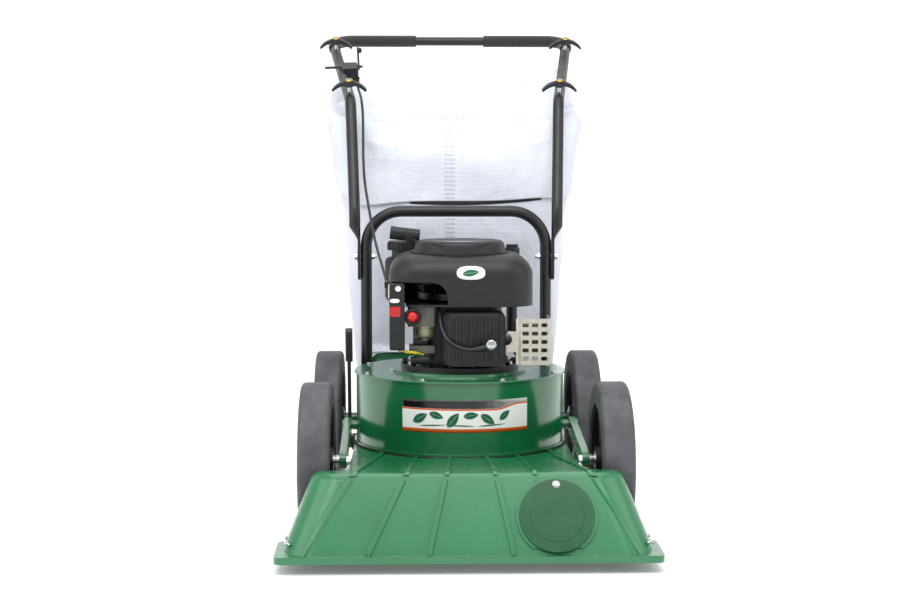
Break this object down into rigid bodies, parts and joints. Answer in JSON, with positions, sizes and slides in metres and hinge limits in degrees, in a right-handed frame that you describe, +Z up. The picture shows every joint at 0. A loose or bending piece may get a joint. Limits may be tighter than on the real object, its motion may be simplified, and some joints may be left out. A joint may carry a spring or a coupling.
{
  "type": "leaf vacuum mulcher",
  "caption": "Walk-behind petrol leaf vacuum mulcher with a wide ribbed suction hood, round fan drum, wheels, hanging cloth bag and folding handle.",
  "frame": {"origin": "on the ground under the middle of the length and width of the machine", "axes": "+Z up, +X to the right of someone facing the hood, the hood points along -Y and the handle along +Y"},
  "size_m": [0.698, 1.47, 1.0597],
  "materials": {
    "green_enamel": "gloss",
    "green_moulding": "gloss",
    "dark_green_moulding": "gloss",
    "zinc_fastener": "zinc plated",
    "black_tube": "satin powder coat",
    "black_moulding": "satin",
    "foam": "matt",
    "grey_rubber": "matt",
    "black_casting": "black painted casting",
    "cast_metal": "dull",
    "stamped_guard": "dull coated sheet",
    "ground_steel": "ground",
    "black_cable": "satin",
    "red_rubber": "satin",
    "bag_cloth": "woven"
  },
  "bodies": {
    "chassis": {"arm_pivots": "green_enamel", "axle_brackets": "green_enamel", "bag": "bag_cloth", "bag_clamp": "zinc_fastener", "blower_cover": "black_moulding", "carburettor": "cast_metal", "control_box": "black_moulding", "crankcase": "black_casting", "cylinder": "black_casting", "deck_screws": "zinc_fastener", "discharge_chute": "green_enamel", "engine_bolts": "zinc_fastener", "fan_housing": "green_enamel", "fuel_tank": "black_moulding", "lever_block": "black_moulding", "lower_loop": "black_tube", "muffler": "cast_metal", "muffler_guard": "stamped_guard", "nozzle": "green_moulding", "oil_filler": "black_moulding", "pivot_bolts": "zinc_fastener", "rear_axle": "green_enamel", "spark_lead": "black_cable", "spark_plug": "ground_steel", "throttle_cable": "black_cable", "top_plate": "green_enamel"},
    "front_arm_left": {"front_arm_left": "green_enamel", "front_axle_left": "zinc_fastener"},
    "front_arm_right": {"front_arm_right": "green_enamel", "front_axle_right": "zinc_fastener"},
    "height_lever": {"height_lever": "black_tube"},
    "handle": {"side_tube_left": "black_tube", "side_tube_right": "black_tube", "grip_bar": "black_tube", "foam_grip_left": "foam", "foam_grip_right": "foam", "knob_studs": "zinc_fastener", "throttle_body": "black_moulding"},
    "throttle_lever": {"throttle_lever": "black_moulding"},
    "throttle_arm": {"throttle_arm": "stamped_guard"},
    "rotor": {"crankshaft": "ground_steel", "flywheel": "black_casting", "impeller": "ground_steel"},
    "primer": {"primer_bulb": "red_rubber"},
    "fuel_cap": {"fuel_cap": "black_moulding"},
    "oil_cap": {"oil_cap": "black_moulding"},
    "starter_grip": {"starter_grip": "black_moulding"},
    "hose_door": {"hose_door": "dark_green_moulding"},
    "wheel_front_left": {"tyre_front_left": "grey_rubber", "hub_front_left": "black_moulding"},
    "wheel_front_right": {"tyre_front_right": "grey_rubber", "hub_front_right": "black_moulding"},
    "wheel_rear_left": {"tyre_rear_left": "grey_rubber", "hub_rear_left": "black_moulding"},
    "wheel_rear_right": {"tyre_rear_right": "grey_rubber", "hub_rear_right": "black_moulding"},
    "knob_lower_left": {"knob_lower_left": "black_moulding"},
    "knob_lower_right": {"knob_lower_right": "black_moulding"},
    "knob_upper_left": {"knob_upper_left": "black_moulding"},
    "knob_upper_right": {"knob_upper_right": "black_moulding"}
  },
  "joints": [
    {"name": "height_adjust", "type": "hinge", "parent": "chassis", "child": "front_arm_left", "pos_m": [-0.236, -0.175, 0.18], "axis": [1, 0, 0], "range_deg": [-2.5, 6]},
    {"name": "right_arm_follow", "type": "hinge", "parent": "chassis", "child": "front_arm_right", "pos_m": [0.236, -0.175, 0.18], "axis": [1, 0, 0], "range_deg": [-2.5, 6]},
    {"name": "height_lever_swing", "type": "hinge", "parent": "chassis", "child": "height_lever", "pos_m": [-0.2355, -0.073, 0.128], "axis": [1, 0, 0], "range_deg": [-18, 7.5]},
    {"name": "front_wheel_left_spin", "type": "hinge", "parent": "front_arm_left", "child": "wheel_front_left", "pos_m": [-0.286, -0.438, 0.1525], "axis": [1, 0, 0], "continuous": true},
    {"name": "rear_wheel_left_spin", "type": "hinge", "parent": "chassis", "child": "wheel_rear_left", "pos_m": [-0.286, 0.095, 0.1525], "axis": [1, 0, 0], "continuous": true},
    {"name": "front_wheel_right_spin", "type": "hinge", "parent": "front_arm_right", "child": "wheel_front_right", "pos_m": [0.286, -0.438, 0.1525], "axis": [1, 0, 0], "continuous": true},
    {"name": "rear_wheel_right_spin", "type": "hinge", "parent": "chassis", "child": "wheel_rear_right", "pos_m": [0.286, 0.095, 0.1525], "axis": [1, 0, 0], "continuous": true},
    {"name": "handle_fold", "type": "hinge", "parent": "chassis", "child": "handle", "pos_m": [0, 0.132, 0.517], "axis": [1, 0, 0], "range_deg": [0, 120], "deforming": ["throttle_cable"]},
    {"name": "knob_lower_left_turn", "type": "hinge", "parent": "handle", "child": "knob_lower_left", "pos_m": [-0.24621, 0.2777, 0.88356], "axis": [0, -0.3427, 0.9394], "continuous": true},
    {"name": "knob_upper_left_turn", "type": "hinge", "parent": "handle", "child": "knob_upper_left", "pos_m": [-0.29054, 0.61143, 1.0053], "axis": [0, -0.3427, 0.9394], "continuous": true},
    {"name": "knob_lower_right_turn", "type": "hinge", "parent": "handle", "child": "knob_lower_right", "pos_m": [0.24621, 0.2777, 0.88356], "axis": [0, -0.3427, 0.9394], "continuous": true},
    {"name": "knob_upper_right_turn", "type": "hinge", "parent": "handle", "child": "knob_upper_right", "pos_m": [0.29054, 0.61143, 1.0053], "axis": [0, -0.3427, 0.9394], "continuous": true},
    {"name": "throttle_lever_swing", "type": "hinge", "parent": "handle", "child": "throttle_lever", "pos_m": [-0.22906, 0.45032, 0.96356], "axis": [0.9923, 0.1163, 0.0424], "range_deg": [0, 40]},
    {"name": "throttle_arm_swing", "type": "hinge", "parent": "chassis", "child": "throttle_arm", "pos_m": [-0.14875, -0.237, 0.452], "axis": [1, 0, 0], "range_deg": [-24, 0]},
    {"name": "crankshaft_spin", "type": "hinge", "parent": "chassis", "child": "rotor", "pos_m": [0, -0.145, 0.3], "axis": [0, 0, 1], "continuous": true},
    {"name": "primer_press", "type": "slide", "parent": "chassis", "child": "primer", "axis": [0, 1, 0], "range_m": [0, 0.004], "stiffness_N_per_m": 400},
    {"name": "fuel_cap_turn", "type": "hinge", "parent": "chassis", "child": "fuel_cap", "pos_m": [-0.123, 0.015, 0.5385], "axis": [0, 0, 1], "range_deg": [0, 90]},
    {"name": "oil_cap_turn", "type": "hinge", "parent": "chassis", "child": "oil_cap", "pos_m": [0.12, 0.015, 0.5285], "axis": [0, 0, 1], "range_deg": [0, 90]},
    {"name": "starter_pull", "type": "slide", "parent": "chassis", "child": "starter_grip", "axis": [-0.8, 0, 0.6], "range_m": [0, 0.1], "stiffness_N_per_m": 60, "springref_m": -0.05},
    {"name": "hose_door_swing", "type": "hinge", "parent": "chassis", "child": "hose_door", "pos_m": [0.158, -0.66807, 0.14833], "axis": [0, -0.8742, 0.4856], "range_deg": [0, 120]}
  ],
  "couplings": [
    {"joint": "right_arm_follow", "follows": "height_adjust", "ratio": 1},
    {"joint": "height_lever_swing", "follows": "height_adjust", "ratio": -3},
    {"joint": "throttle_arm_swing", "follows": "throttle_lever_swing", "ratio": -0.6}
  ]
}
